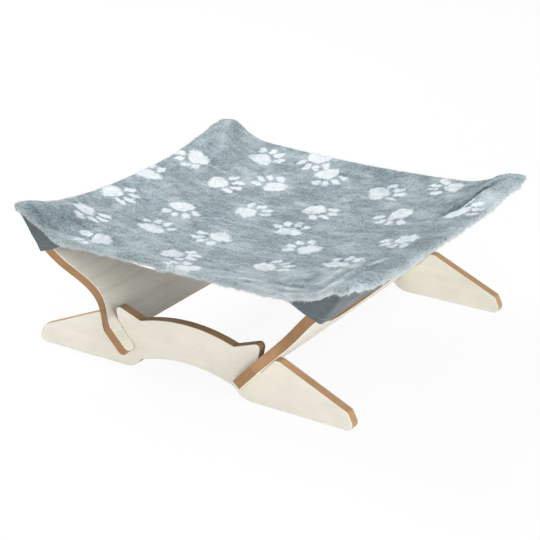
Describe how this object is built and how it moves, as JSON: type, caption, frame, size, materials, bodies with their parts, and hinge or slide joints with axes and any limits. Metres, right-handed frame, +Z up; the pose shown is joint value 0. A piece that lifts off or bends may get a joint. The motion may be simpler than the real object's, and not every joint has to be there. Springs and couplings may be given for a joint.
{
  "type": "cat hammock bed",
  "caption": "Low cat bed: a plush sheet slung by corner pockets over the horns of two leaning plywood boards, which slot into two cross rails.",
  "frame": {"origin": "middle of the bed, on the surface that its four feet stand on", "axes": "+Z up; +X across the bed, from one leaning board to the other; +Y along the leaning boards, towards the back rail"},
  "size_m": [0.4342, 0.42, 0.1746],
  "materials": {
    "plywood": "pale sanded birch plywood with tan sawn edges",
    "plush": "short blue-grey plush with an off-white paw print pattern",
    "lining": "smooth slate-grey woven lining"
  },
  "bodies": {
    "root": {"left_wing": "plywood", "right_wing": "plywood", "front_rail": "plywood", "back_rail": "plywood", "plush_sheet": "plush", "sheet_lining": "lining", "front_left_pocket": "lining", "front_right_pocket": "lining", "back_left_pocket": "lining", "back_right_pocket": "lining"}
  },
  "joints": []
}
